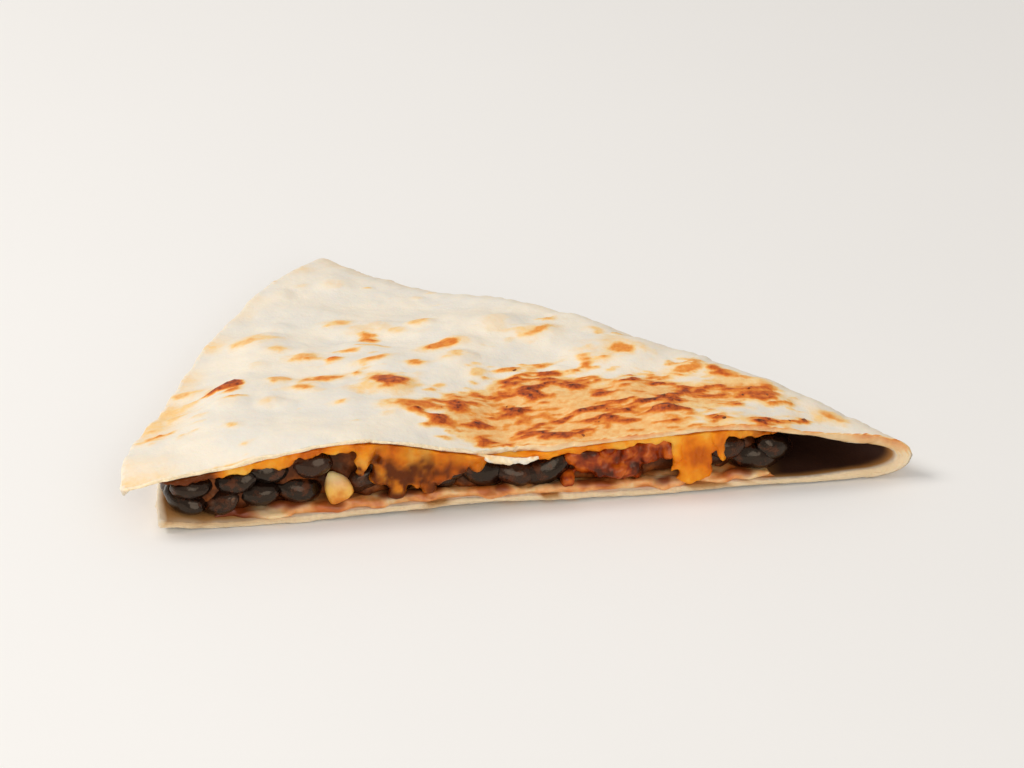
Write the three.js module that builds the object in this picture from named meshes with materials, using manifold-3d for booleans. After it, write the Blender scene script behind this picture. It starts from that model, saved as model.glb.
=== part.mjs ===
// A wedge of black bean quesadilla. One large flour tortilla was folded over its filling, griddled and
// cut into wedges, and this is an end wedge: a fold on one straight side, a knife cut on the other, and
// the tortilla's own rim between them. Millimetres, +Z up, resting on the flat of the lower leaf.
//
// In plan the corner where the cut meets the fold is the apex. The cut runs from it along -X in the
// plane Y = 0, and the fold leaves it at WEDGE_ANGLE, so the wedge lies on the +Y side of the cut.
import * as THREE from "three";
import { mergeVertices } from "three/addons/utils/BufferGeometryUtils.js";
import Module from "manifold-3d";

const wasm = await Module();
wasm.setup();

// ---- driving dimensions -------------------------------------------------------------------------
const TORTILLA_RADIUS = 142; // apex to rim
const TORTILLA_THICK = 2.2;
const WEDGE_ANGLE = THREE.MathUtils.degToRad(46);
const TIP_STRETCH = 7; // how far the upper leaf's corner between rim and cut is drawn out
const TIP_SPREAD = 0.17; // the angle over which that fades, in radians
const FOLD_ROUND = 7; // the width over which the fold turns from one leaf to the other
const LAYER_GAP = 0.45; // kept between neighbouring pieces

// Outside height of the wedge, as [distance from the apex, height], along the cut and along the fold.
const HEIGHT_AT_CUT = [
  [0, 9.2], [12, 10.8], [30, 13.2], [50, 13.6], [64, 12.9], [77, 12.2], [88, 14.2],
  [102, 16.2], [118, 15.6], [132, 14], [142, 12], [150, 10.4],
];
const HEIGHT_AT_FOLD = [[0, 9.2], [20, 12.2], [60, 13.8], [92, 12.4], [108, 8.6], [124, 6.6], [150, 6.2]];
const RIM_HEIGHT = 7.2; // away from the cut, where the mouth stays open
const RIM_CLOSES = [0.02, 0.3]; // the angles from the cut between which it closes, in radians
const RIM_MARGIN = 15; // the leaves close towards each other over this width

// The layers of the filling: where each starts and ends along the cut, where it ends along the fold,
// how far it stays from the fold, and how far its face lies behind the cut. The fold's pocket is empty.
const CHEESE = { start: 26, endAtCut: 140, endAtFold: 101, fromFold: 10, inset: 0.2, thick: 1.8 };
const BASE = { start: 27, endAtCut: 138, endAtFold: 92, fromFold: 12, inset: 0.4, thick: 1.6 };
const BEAN_CORE = { start: 23, endAtCut: 136, endAtFold: 88, fromFold: 13, inset: 3.2 };
const FACE_ROOM = { start: 19, endAtCut: 139, endAtFold: 92, fromFold: 9, inset: -1.5 };
const RIM_BULGE = 9; // how far a layer's outer end bows out towards the rim
const LAYER_SPREAD = 0.35; // the share of a layer's length over which it comes up to the fold

const BEAN = { length: 11, width: 7.4, thick: 6.4, back: 2.1, shift: 0.7, turn: [0.4, 0.45, 1.1] };
const BEAN_SPACING = 6.2;
const BEAN_SEED = 11;
const ONE_ROW = [0.5]; // where the rows' middles lie, as shares of the room in height
const TWO_ROWS = [0.24, 0.78];
const TWO_ROWS_FROM = 5.4; // room in height above which the beans lie in two rows

// What else fills the face, by distance from the apex: two runs of melted cheese that hang over the
// beans, a pocket of red pepper salsa, and one corn kernel.
const CURTAINS = [[38, 45], [90, 102]];
const TONGUE = { width: 6, depth: 3.4, back: 1, longest: 1, shortest: 0.75 };
const SALSA = { from: 48, to: 64, depth: 24, height: 11 };
const SALSA_LUMP = { width: 6.8, depth: 6.4, height: 7, spacing: 4.8, back: 2.5 };
const KERNEL = { from: 109, back: 0.9, z: 7.2, size: [6.4, 5.6, 5.4], turn: [0.2, 0.35, 0.25] };
const NEIGHBOUR_ROOM = 2; // no bean's middle comes closer than this to one of them

// ---- small maths --------------------------------------------------------------------------------
const { clamp, lerp, smoothstep } = THREE.MathUtils;

// A smooth curve through [x, value] knots: cubic, with each slope taken from the neighbours.
function through(knots, x) {
  const last = knots.length - 1;
  const slope = (k) => {
    const [before, after] = [knots[Math.max(k - 1, 0)], knots[Math.min(k + 1, last)]];
    return (after[1] - before[1]) / (after[0] - before[0]);
  };
  const at = clamp(x, knots[0][0], knots[last][0]);
  const k = Math.max(1, knots.findIndex(([knot]) => at <= knot));
  const [[x0, y0], [x1, y1]] = [knots[k - 1], knots[k]];
  const span = x1 - x0;
  const t = (at - x0) / span;
  const blend = t * t * (3 - 2 * t);
  const bend = t * (1 - t) * span;
  return lerp(y0, y1, blend) + bend * (slope(k - 1) * (1 - t) - slope(k) * t);
}

// A repeatable run of numbers between 0 and 1.
function seededRandom(seed) {
  let state = seed;
  return () => {
    state = (state * 1664525 + 1013904223) % 4294967296;
    return state / 4294967296;
  };
}

// ---- the wedge's plan and heights ---------------------------------------------------------------
const alongFold = new THREE.Vector2(-Math.cos(WEDGE_ANGLE), Math.sin(WEDGE_ANGLE));
const awayFromFold = new THREE.Vector2(-Math.sin(WEDGE_ANGLE), -Math.cos(WEDGE_ANGLE));
const distanceFromFold = (x, y) => awayFromFold.x * x + awayFromFold.y * y;
const angleFromCut = (x, y) => Math.atan2(y, -x);

// Distance from the apex to the rim. Side is 1 for the upper leaf and -1 for the lower.
function rimReach(fromCut, side) {
  const drawnOut = TIP_STRETCH * Math.exp(-((fromCut / TIP_SPREAD) ** 2));
  return TORTILLA_RADIUS + (side > 0 ? drawnOut : 0);
}

// Slow waves that a griddled leaf keeps over an uneven filling.
const undulation = (x, y) =>
  0.45 * Math.sin(x / 9.5 + 0.6 * Math.sin(y / 13)) * Math.cos(y / 11.5) +
  0.3 * Math.sin((x + 1.7 * y) / 6.3);

// Height of the upper leaf's outside over the plate, before the fold rounds it off.
function leafHeight(x, y) {
  const reach = Math.hypot(x, y);
  const fromCut = angleFromCut(x, y);
  const towardsFold = smoothstep(fromCut, 0, WEDGE_ANGLE);
  const plump = lerp(through(HEIGHT_AT_CUT, reach), through(HEIGHT_AT_FOLD, reach), towardsFold);
  const rim = Math.min(plump, lerp(plump, RIM_HEIGHT, smoothstep(fromCut, ...RIM_CLOSES)));
  const open = smoothstep(rimReach(fromCut, 1) - reach, 0, RIM_MARGIN);
  return lerp(rim, plump + undulation(x, y), open);
}

// The fold as half an ellipse: the share of the half height that is reached at this distance from it.
function foldShare(distance, round) {
  const into = clamp(1 - distance / round, 0, 1);
  return Math.sqrt(1 - into * into);
}

// Height of the tortilla's outside, and of its pocket's wall.
function outerZ(x, y, side) {
  const half = leafHeight(x, y) / 2;
  return half + side * half * foldShare(distanceFromFold(x, y), FOLD_ROUND);
}
function innerZ(x, y, side) {
  const half = leafHeight(x, y) / 2;
  const distance = distanceFromFold(x, y) - TORTILLA_THICK;
  return half + side * (half - TORTILLA_THICK) * foldShare(distance, FOLD_ROUND - TORTILLA_THICK);
}

// ---- from grids of points to closed solids ------------------------------------------------------
// A closed solid between two grids of the same size, the outer one seen from outside, joined round
// their borders. Triangles that a shared corner has collapsed are left out.
function solidBetween(outer, inner) {
  const corners = [];
  const triangle = (...points) => {
    const [a, b, c] = points;
    const shortest = Math.min(a.distanceTo(b), b.distanceTo(c), c.distanceTo(a));
    if (shortest > 1e-4) corners.push(...points);
  };
  const strip = (left, right) => {
    for (let i = 1; i < left.length; i += 1) {
      triangle(left[i - 1], right[i - 1], right[i]);
      triangle(left[i - 1], right[i], left[i]);
    }
  };
  const grid = (rows) => rows.slice(1).forEach((row, i) => strip(rows[i], row));
  const column = (rows, j) => rows.map((row) => row.at(j));
  grid(outer);
  grid(inner.map((row) => [...row].reverse()));
  strip(column(outer, 0), column(inner, 0));
  strip(column(inner, -1), column(outer, -1));
  strip(inner[0], outer[0]);
  strip(outer.at(-1), inner.at(-1));
  return new THREE.BufferGeometry().setFromPoints(corners);
}

function toSolid(geometry) {
  const bare = geometry.index ? geometry.toNonIndexed() : geometry.clone();
  bare.deleteAttribute("normal");
  bare.deleteAttribute("uv");
  const { attributes, index } = mergeVertices(bare, 1e-4);
  const vertProperties = attributes.position.array;
  const triVerts = new Uint32Array(index.array);
  return new wasm.Manifold(new wasm.Mesh({ numProp: 3, vertProperties, triVerts }));
}

function toGeometry(solid) {
  const { vertProperties, triVerts } = solid.getMesh();
  return new THREE.BufferGeometry()
    .setAttribute("position", new THREE.BufferAttribute(vertProperties, 3))
    .setIndex(new THREE.BufferAttribute(triVerts, 1));
}

const joined = (solids) => solids.reduce((whole, solid) => whole.add(solid));
const steps = (count) => Array.from({ length: count + 1 }, (_, i) => i / count);

// ---- the tortilla -------------------------------------------------------------------------------
// One sheet: each row runs from the lower leaf's cut edge, round the fold, to the upper leaf's.
const SHEET_ROWS = 30;
const FOLD_COLUMNS = 5;
const LEAF_COLUMNS = 11;
const FOLD_SHARE = 0.6; // near the apex the round takes no more than this share of the width

// The distances from the fold at which a row has its points, closer together where the fold is round.
function rowDistances(widest, round) {
  const turn = Math.min(round, widest * FOLD_SHARE);
  const bend = steps(FOLD_COLUMNS).map((t) => turn * (1 - Math.cos((t * Math.PI) / 2)));
  const flat = steps(LEAF_COLUMNS).slice(1).map((t) => lerp(turn, widest, t));
  return [...bend, ...flat];
}

// A sheet whose rows widen from its own apex, at apexX on the cut, out to the rim.
function sheetGrid(apexX, round, height) {
  return steps(SHEET_ROWS).map((share) => {
    const radius = share * (TORTILLA_RADIUS + apexX);
    const point = (distance, side) => {
      const fromCut = WEDGE_ANGLE - (radius ? Math.asin(distance / radius) : 0);
      const reach = share * (rimReach(fromCut, side) + apexX * Math.cos(fromCut));
      const x = apexX - reach * Math.cos(fromCut);
      const y = Math.max(reach * Math.sin(fromCut), 0);
      return new THREE.Vector3(x, y, height(x, y, side));
    };
    const distances = rowDistances(radius * Math.sin(WEDGE_ANGLE), round);
    const lower = [...distances].reverse().map((distance) => point(distance, -1));
    const upper = distances.slice(1).map((distance) => point(distance, 1));
    return [...lower, ...upper];
  });
}

function tortilla() {
  const pocketApex = -TORTILLA_THICK / Math.sin(WEDGE_ANGLE);
  const outside = sheetGrid(0, FOLD_ROUND, outerZ);
  const pocket = sheetGrid(pocketApex, FOLD_ROUND - TORTILLA_THICK, innerZ);
  return solidBetween(outside, pocket);
}

// ---- the filling's layers -----------------------------------------------------------------------
const ceiling = (x, y) => innerZ(x, y, 1) - LAYER_GAP;
const floor = (x, y) => innerZ(x, y, -1) + LAYER_GAP;
const cheeseUnderside = (x, y) => ceiling(x, y) - CHEESE.thick;
const underCheese = (x, y) => cheeseUnderside(x, y) - LAYER_GAP;
const baseTop = (x, y) => floor(x, y) + BASE.thick;
const overBase = (x, y) => baseTop(x, y) + LAYER_GAP;

// A layer that runs through the wedge: its rows go from the apex's side out to the rim's, and each row
// from the fold's side to the cut.
function layer({ start, endAtCut, endAtFold, fromFold, inset }, low, high, [rows, columns]) {
  const outward = new THREE.Vector2(-Math.cos(WEDGE_ANGLE / 2), Math.sin(WEDGE_ANGLE / 2));
  const grid = (height) =>
    steps(rows).map((share) => {
      const atCut = new THREE.Vector2(-lerp(start, endAtCut, share), inset);
      const narrow = start * Math.sin(WEDGE_ANGLE) - inset;
      const away = lerp(narrow, fromFold, smoothstep(share, 0, LAYER_SPREAD));
      const atFold = new THREE.Vector2()
        .addScaledVector(alongFold, lerp(start * Math.cos(WEDGE_ANGLE), endAtFold, share))
        .addScaledVector(awayFromFold, away);
      return steps(columns).map((t) => {
        const bow = RIM_BULGE * share * share * 4 * t * (1 - t);
        const at = (share ? atFold : atCut).clone().lerp(atCut, t).addScaledVector(outward, bow);
        return new THREE.Vector3(at.x, at.y, height(at.x, at.y));
      });
    });
  return toSolid(solidBetween(grid(high), grid(low)));
}

// An ellipsoid with few sides, its middle `from` along the cut, `back` behind it and `z` high.
function lump({ from, back, z, size, grow = 0, turn = [0, 0, 0], sides = 8 }) {
  const half = new THREE.Vector3(...size).addScalar(grow).divideScalar(2);
  const rotation = new THREE.Quaternion().setFromEuler(new THREE.Euler(...turn));
  const place = new THREE.Matrix4().compose(new THREE.Vector3(-from, back, z), rotation, half);
  const rings = Math.round(sides * 0.65);
  return toSolid(new THREE.SphereGeometry(1, sides, rings).applyMatrix4(place));
}

const faceRoom = layer(FACE_ROOM, overBase, underCheese, [24, 8]);
const roomAt = (from) => [overBase(-from, 1), underCheese(-from, 1)];

// Beans pushed against the face in one row or two, lying every way, some a little out of the cut.
function faceBeans() {
  const random = seededRandom(BEAN_SEED);
  const jitter = (size) => (random() - 0.5) * 2 * size;
  const elsewhere = [...CURTAINS, [SALSA.from, SALSA.to]];
  const kernelRange = [KERNEL.from - KERNEL.size[0] / 2, KERNEL.from + KERNEL.size[0] / 2];
  const touches = (at) => ([start, end]) => at > start - NEIGHBOUR_ROOM && at < end + NEIGHBOUR_ROOM;
  const beans = [];
  for (let from = BEAN_CORE.start + 2; from < BEAN_CORE.endAtCut; from += BEAN_SPACING) {
    const [low, high] = roomAt(from);
    const levels = high - low > TWO_ROWS_FROM ? TWO_ROWS : ONE_ROW;
    levels.forEach((level, row) => {
      const at = from + (row * BEAN_SPACING) / 2;
      const bean = lump({
        from: at,
        back: BEAN.back + jitter(BEAN.shift),
        z: lerp(low, high, level),
        size: [BEAN.length, BEAN.width, BEAN.thick],
        turn: BEAN.turn.map(jitter),
      });
      const taken = row === 0 ? [...elsewhere, kernelRange] : elsewhere;
      if (!taken.some(touches(at))) beans.push(bean);
    });
  }
  return beans;
}

// The salsa's body runs into the wedge behind three lumps at the face, each a little higher.
function salsa(grow = 0) {
  const from = (SALSA.from + SALSA.to) / 2;
  const [low, high] = roomAt(from);
  const z = (low + high) / 2;
  const bodySize = [SALSA.to - SALSA.from, SALSA.depth, SALSA.height];
  const body = lump({ from, back: SALSA.depth / 2, z, size: bodySize, grow, sides: 14 });
  const { width, depth, height, spacing, back } = SALSA_LUMP;
  const lumps = [-1, 0, 1].map((place) => {
    const rise = place * 0.6;
    const at = from + place * spacing;
    return lump({ from: at, back: back + rise, z: z + rise, size: [width, depth, height], grow });
  });
  return joined([body, ...lumps]);
}

const kernel = (grow = 0) => lump({ ...KERNEL, grow });

// Each run of melted cheese is three tongues side by side, the middle one the longest.
function curtains(grow = 0) {
  const tongues = CURTAINS.flatMap(([start, end]) =>
    [0.15, 0.5, 0.85].map((share) => {
      const from = lerp(start, end, share);
      const [low, high] = roomAt(from);
      const hang = (high - low) * (share === 0.5 ? TONGUE.longest : TONGUE.shortest);
      const width = Math.min(TONGUE.width, (end - start) * 0.7);
      const size = [width, TONGUE.depth, 2 * (hang + 1)];
      return lump({ from, back: TONGUE.back, z: high + 1, size, grow });
    }),
  );
  return joined(tongues);
}

function cheese() {
  const sheet = layer(CHEESE, cheeseUnderside, ceiling, [20, 10]);
  const room = layer({ ...CHEESE, inset: -1.2 }, overBase, (x, y) => ceiling(x, y) - 0.3, [24, 8]);
  return sheet.add(curtains().intersect(room));
}

function beanFilling() {
  const core = layer(BEAN_CORE, overBase, underCheese, [18, 8]);
  const heap = core.add(joined(faceBeans()).intersect(faceRoom));
  const wider = 2 * LAYER_GAP;
  return heap.subtract(joined([salsa(wider), kernel(wider), curtains(wider)]));
}

// ---- the wedge ----------------------------------------------------------------------------------
const finishes = {
  tortilla: { color: 0xe9dcc4, roughness: 0.75 },
  cheese: { color: 0xd98a1c, roughness: 0.35 },
  beans: { color: 0x2c1b18, roughness: 0.3 },
  salsa: { color: 0x7c2a10, roughness: 0.3 },
  base: { color: 0xc9803f, roughness: 0.5 },
  corn: { color: 0xdfa850, roughness: 0.35 },
};

const wedge = new THREE.Group();
function add(name, geometry, finish) {
  const mesh = new THREE.Mesh(geometry, new THREE.MeshStandardMaterial({ ...finish, metalness: 0 }));
  mesh.name = name;
  wedge.add(mesh);
}
add("tortilla", tortilla(), finishes.tortilla);
add("cheese", toGeometry(cheese()), finishes.cheese);
add("bean_filling", toGeometry(beanFilling()), finishes.beans);
add("salsa", toGeometry(salsa().intersect(faceRoom)), finishes.salsa);
add("base_cheese", toGeometry(layer(BASE, floor, baseTop, [14, 6])), finishes.base);
add("corn_kernel", toGeometry(kernel().intersect(faceRoom)), finishes.corn);

// The origin is under the middle of the wedge's box, on the plate.
const box = new THREE.Box3().setFromObject(wedge);
const middle = box.getCenter(new THREE.Vector3());
wedge.position.set(-middle.x, -middle.y, -box.min.z);

export default wedge;
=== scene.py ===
import math
import bmesh
import bpy
import numpy as np
from mathutils import Euler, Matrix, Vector


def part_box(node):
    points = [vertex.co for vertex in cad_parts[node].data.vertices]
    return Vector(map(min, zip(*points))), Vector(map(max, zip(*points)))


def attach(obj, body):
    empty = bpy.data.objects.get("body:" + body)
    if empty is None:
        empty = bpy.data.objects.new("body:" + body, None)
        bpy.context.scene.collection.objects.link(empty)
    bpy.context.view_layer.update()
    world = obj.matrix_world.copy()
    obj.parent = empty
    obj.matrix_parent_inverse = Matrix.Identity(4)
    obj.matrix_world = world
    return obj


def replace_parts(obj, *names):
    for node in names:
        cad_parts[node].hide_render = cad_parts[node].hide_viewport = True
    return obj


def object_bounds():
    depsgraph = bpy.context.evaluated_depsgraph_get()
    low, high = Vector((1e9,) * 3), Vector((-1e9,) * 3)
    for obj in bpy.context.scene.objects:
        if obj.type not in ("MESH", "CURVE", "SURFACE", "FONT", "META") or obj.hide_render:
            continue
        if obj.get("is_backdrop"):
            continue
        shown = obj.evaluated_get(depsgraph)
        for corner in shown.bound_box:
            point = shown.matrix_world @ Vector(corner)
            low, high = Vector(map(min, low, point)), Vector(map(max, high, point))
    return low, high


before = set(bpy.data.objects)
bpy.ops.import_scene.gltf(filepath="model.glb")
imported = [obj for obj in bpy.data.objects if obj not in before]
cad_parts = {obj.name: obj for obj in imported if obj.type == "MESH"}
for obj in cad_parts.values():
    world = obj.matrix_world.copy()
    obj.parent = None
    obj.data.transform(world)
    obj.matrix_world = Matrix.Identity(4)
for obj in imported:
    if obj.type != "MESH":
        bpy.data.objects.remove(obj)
cad_low, cad_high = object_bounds()

# ---- Camera and light ----
# The wedge lies on a pale table with its cut side to the viewer. Soft daylight comes from the left,
# and the room's pale walls fill the shadows.
VIEW_AZIMUTH = math.radians(-9)
VIEW_ELEVATION = math.radians(27.3)
VIEW_DISTANCE = 0.82
VIEW_LENS = 146
VIEW_AIM = Vector((0.006, 0, -0.009))  # from the middle of the box: the wedge's bulk lies forward
WALL_PAINT = (250, 247, 244)
WALL_LIGHT = 0.51


def colour(red, green, blue):
    """A screen colour, 0 to 255 a channel, as the linear one that shaders take."""
    def linear(value):
        return value / 12.92 if value <= 0.04045 else ((value + 0.055) / 1.055) ** 2.4

    return (*(linear(value / 255) for value in (red, green, blue)), 1.0)


def add_object(name, data):
    made = bpy.data.objects.new(name, data)
    bpy.context.collection.objects.link(made)
    return made


towards_viewer = Vector((
    math.sin(VIEW_AZIMUTH) * math.cos(VIEW_ELEVATION),
    -math.cos(VIEW_AZIMUTH) * math.cos(VIEW_ELEVATION),
    math.sin(VIEW_ELEVATION),
))
camera = add_object("camera", bpy.data.cameras.new("camera"))
camera.data.lens = VIEW_LENS
camera.data.clip_start = 0.01
camera.data.clip_end = 20
camera.location = (cad_low + cad_high) / 2 + VIEW_AIM + towards_viewer * VIEW_DISTANCE
camera.rotation_euler = (-towards_viewer).to_track_quat("-Z", "Y").to_euler()
bpy.context.scene.camera = camera
bpy.context.scene.view_settings.view_transform = "Standard"

for name, place, size, watts, tint in (
    ("window", (-0.75, 0.1, 0.8), 0.5, 7.1, (255, 253, 250)),
    ("front_wall", (0.1, -1.0, 0.5), 0.8, 3.2, (255, 254, 252)),
):
    light = bpy.data.lights.new(name, "AREA")
    light.shape = "DISK"
    light.size = size
    light.energy = watts
    light.color = colour(*tint)[:3]
    lamp = add_object(name, light)
    lamp.location = place
    lamp.rotation_euler = (-Vector(place)).to_track_quat("-Z", "Y").to_euler()

world = bpy.data.worlds.new("room")
world.use_nodes = True
walls = world.node_tree.nodes["Background"]
walls.inputs["Color"].default_value = colour(*WALL_PAINT)
walls.inputs["Strength"].default_value = WALL_LIGHT
bpy.context.scene.world = world

# ---- Table ----
# A pale painted top, plain and matt, for the wedge to lie on.
TABLE_HALF = 1.6
TABLE_PAINT = ((241, 239, 236), (244, 242, 239))


def add_node(tree, kind, inputs=None, **settings):
    """A shader node with its settings, its inputs linked from sockets or set to values."""
    made = tree.nodes.new("ShaderNode" + kind)
    for name, value in settings.items():
        setattr(made, name, value)
    for name, value in (inputs or {}).items():
        if isinstance(value, bpy.types.NodeSocket):
            tree.links.new(value, made.inputs[name])
        else:
            made.inputs[name].default_value = value
    return made


def cloud(tree, scale, detail, roughness=0.5):
    """Soft random lumps all through a piece, about `scale` of them to the metre."""
    place = add_node(tree, "TexCoord").outputs["Object"]
    lumps = {"Vector": place, "Scale": scale, "Detail": detail, "Roughness": roughness}
    return add_node(tree, "TexNoise", lumps).outputs["Fac"]


def covered(share, under, over):
    """One colour covered by another, as far as the share says."""
    colours = {"Factor": share, "A": under, "B": over}
    node = add_node(share.id_data, "Mix", colours, data_type="RGBA")
    return node.outputs["Result"]


def new_material(name, **settings):
    """A Principled material with constants set on the shader, and the tree to dress it with."""
    material = bpy.data.materials.new(name)
    material.use_nodes = True
    tree = material.node_tree
    shader = tree.nodes["Principled BSDF"]
    for key, value in settings.items():
        shader.inputs[key.replace("_", " ")].default_value = value
    return material, tree, shader


table_mesh = bpy.data.meshes.new("table")
corners = [(x * TABLE_HALF, y * TABLE_HALF, 0) for x, y in ((-1, -1), (1, -1), (1, 1), (-1, 1))]
table_mesh.from_pydata(corners, [], [(0, 1, 2, 3)])
table_paint, tree, shader = new_material("table_paint", Roughness=0.7)
mottled = covered(cloud(tree, 9.0, 3.0), *(colour(*paint) for paint in TABLE_PAINT))
tree.links.new(mottled, shader.inputs["Base Color"])
table_mesh.materials.append(table_paint)
add_object("table", table_mesh)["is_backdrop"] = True

# ---- Tortilla ----
# One wheat tortilla folded in two and griddled on both sides: a soft, pale sheet, blistered where it
# met the hot plate, torn a little where the knife dragged it. Sizes are in millimetres, measured from
# the apex, where the cut meets the fold; the cut runs from there along -X at Y = 0.
MM = 0.001
RADIUS = 142  # apex to rim
SHEET_THICK = 2.2
WEDGE_ANGLE = math.radians(46)
WEDGE_SIN, WEDGE_COS = math.sin(WEDGE_ANGLE), math.cos(WEDGE_ANGLE)
TIP_STRETCH = 7  # how far the upper leaf's corner at the rim is drawn out
TIP_SPREAD = 0.17  # and over what angle, in radians
FOLD_ROUND = 7  # the width over which the fold turns
FOLD_SHARE = 0.6  # the most of the wedge's width that it takes near the apex
HEIGHT_AT_CUT = [
    (0, 9.2), (12, 10.8), (30, 13.2), (50, 13.6), (64, 12.9), (77, 12.2), (88, 14.2),
    (102, 16.2), (118, 15.6), (132, 14), (142, 12), (150, 10.4),
]
HEIGHT_AT_FOLD = [(0, 9.2), (20, 12.2), (60, 13.8), (92, 12.4), (108, 8.6), (124, 6.6), (150, 6.2)]
RIM_HEIGHT = 7.2  # away from the cut
RIM_CLOSES = (0.02, 0.3)  # the angles between which the mouth closes, in radians
RIM_MARGIN = 15  # the leaves close over this width
POCKET_SHORT = 1.4  # how far the pocket's walls stop short of the rim
PINCH_UP = 0.85  # how far the knife squeezed each leaf
PINCH_DOWN = 0.75
EDGE_LIFT = 1.0  # the most that the lower leaf's edge has sprung off the table
LIFTED = [(84, 20, 1), (36, 11, 0.45)]  # where: along the cut, how widely, what share of that
SHEET_ROWS = 230
OUTER_COLUMNS = (22, 140)  # of points, round half the fold and across a leaf
INNER_COLUMNS = (8, 34)
EDGE_STEPS = 8

tortilla_low, tortilla_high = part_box("tortilla")
APEX = np.array((tortilla_high.x, tortilla_low.y, tortilla_low.z))
LATTICE = 48
noise_lattice = np.random.default_rng(4).normal(0, 0.62, (LATTICE, LATTICE, LATTICE))


def ease(value, start, end):
    """From 0 at the start to 1 at the end, which may be the lower of the two."""
    share = np.clip((value - start) / (end - start), 0, 1)
    return share * share * (3 - 2 * share)


def mix(start, end, share):
    return start + (end - start) * share


def through(knots, at):
    """A smooth curve through (x, value) knots, each slope taken from the neighbours."""
    xs, ys = np.array(knots, float).T
    slopes = np.empty_like(ys)
    slopes[1:-1] = (ys[2:] - ys[:-2]) / (xs[2:] - xs[:-2])
    slopes[0] = (ys[1] - ys[0]) / (xs[1] - xs[0])
    slopes[-1] = (ys[-1] - ys[-2]) / (xs[-1] - xs[-2])
    at = np.clip(at, xs[0], xs[-1])
    k = np.clip(np.searchsorted(xs, at), 1, len(xs) - 1)
    span = xs[k] - xs[k - 1]
    t = (at - xs[k - 1]) / span
    bend = t * (1 - t) * span
    return mix(ys[k - 1], ys[k], t * t * (3 - 2 * t)) + bend * (slopes[k - 1] * (1 - t) - slopes[k] * t)


def spots(x, y=0.0, z=0.0):
    """Points, in one array, from coordinates that are arrays or numbers."""
    return np.stack(np.broadcast_arrays(x, y, z), axis=-1)


def noise(points, size, octaves=2):
    """Smooth random values, mostly within -1 to 1, whose lumps are about `size` across."""
    total = np.zeros(points.shape[:-1])
    for octave in range(octaves):
        at = points / size * 2**octave + 11.7 * octave + 5.3
        cell = np.floor(at).astype(int)
        part = at - cell
        part = part * part * (3 - 2 * part)
        for corner in np.ndindex(2, 2, 2):
            weight = np.prod(np.where(corner, part, 1 - part), axis=-1)
            x, y, z = np.moveaxis((cell + corner) % LATTICE, -1, 0)
            total += weight * noise_lattice[x, y, z] * 0.5**octave
    return total


def angle_from_cut(x, y):
    return np.arctan2(y, -x)


def rim_reach(from_cut, side):
    """Distance from the apex to the rim. Side is 1 for the upper leaf and -1 for the lower."""
    return RADIUS + np.where(side > 0, TIP_STRETCH * np.exp(-((from_cut / TIP_SPREAD) ** 2)), 0)


def near_rim(x, y, width):
    return ease(np.hypot(x, y), RADIUS - width, RADIUS)


def undulation(x, y):
    """Slow waves that a griddled leaf keeps over an uneven filling."""
    broad = 0.45 * np.sin(x / 9.5 + 0.6 * np.sin(y / 13)) * np.cos(y / 11.5)
    return broad + 0.3 * np.sin((x + 1.7 * y) / 6.3)


def leaf_height(x, y):
    """Height of the upper leaf's outside over the table, before the fold rounds it off."""
    reach = np.hypot(x, y)
    from_cut = angle_from_cut(x, y)
    towards_fold = ease(from_cut, 0, WEDGE_ANGLE)
    plump = mix(through(HEIGHT_AT_CUT, reach), through(HEIGHT_AT_FOLD, reach), towards_fold)
    rim = np.minimum(plump, mix(plump, RIM_HEIGHT, ease(from_cut, *RIM_CLOSES)))
    opened = ease(rim_reach(from_cut, 1) - reach, 0, RIM_MARGIN)
    return mix(rim, plump + undulation(x, y), opened)


def fold_distance(x, y):
    return -x * WEDGE_SIN - y * WEDGE_COS


def leaf_z(x, y, side, inset=0):
    """Height of a leaf's outside, or of a surface some way into it; the fold is half an ellipse."""
    half = leaf_height(x, y) / 2
    into = np.clip(1 - (fold_distance(x, y) - inset) / (FOLD_ROUND - inset), 0, 1)
    return half + side * (half - inset) * np.sqrt(1 - into * into)


def pinch(x, y):
    """How much the knife squeezed the leaves together, from 0 inside to 1 at the cut."""
    return ease(y, 8, 0.5) * ease(-x, 8, 22)


def edge_lift(x, y):
    """How far the lower leaf's edge has sprung off the table along the cut and the rim."""
    sprung = sum(share * np.exp(-(((-x - along) / wide) ** 2)) for along, wide, share in LIFTED)
    along_cut = EDGE_LIFT * ease(y, 9, 0) ** 1.6 * sprung
    uneven = 0.55 + 0.5 * noise(spots(angle_from_cut(x, y) * 100), 19, 1)
    return (along_cut + near_rim(x, y, 12) ** 1.5 * uneven) * ease(fold_distance(x, y), 4, 18)


def sheet(apex_x, inset, columns, reach_lost=0.0):
    """A leaf-fold-leaf grid of points, its rows widening from an apex out to the rim."""
    fold_columns, leaf_columns = columns
    share = np.linspace(0, 1, SHEET_ROWS + 1)[:, None]
    radius = share * (RADIUS + apex_x)
    widest = radius * WEDGE_SIN
    turn = np.minimum(FOLD_ROUND - inset, widest * FOLD_SHARE)
    bend = turn * (1 - np.cos(np.linspace(0, 1, fold_columns + 1) * math.pi / 2))
    flat = mix(turn, widest, np.linspace(0, 1, leaf_columns + 1)[1:])
    half = np.concatenate([bend, flat], axis=1)
    distance = np.concatenate([half[:, :0:-1], half], axis=1)
    side = np.broadcast_to(np.repeat([-1.0, 1.0], [half.shape[1] - 1, half.shape[1]]), distance.shape)
    from_cut = WEDGE_ANGLE - np.arcsin(np.clip(distance / np.maximum(radius, 1e-9), 0, 1))
    reach = share * (rim_reach(from_cut, side) + apex_x * np.cos(from_cut) - reach_lost)
    x = apex_x - reach * np.cos(from_cut)
    y = np.maximum(reach * np.sin(from_cut), 0)
    return spots(x, y, leaf_z(x, y, side, inset)), side


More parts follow.
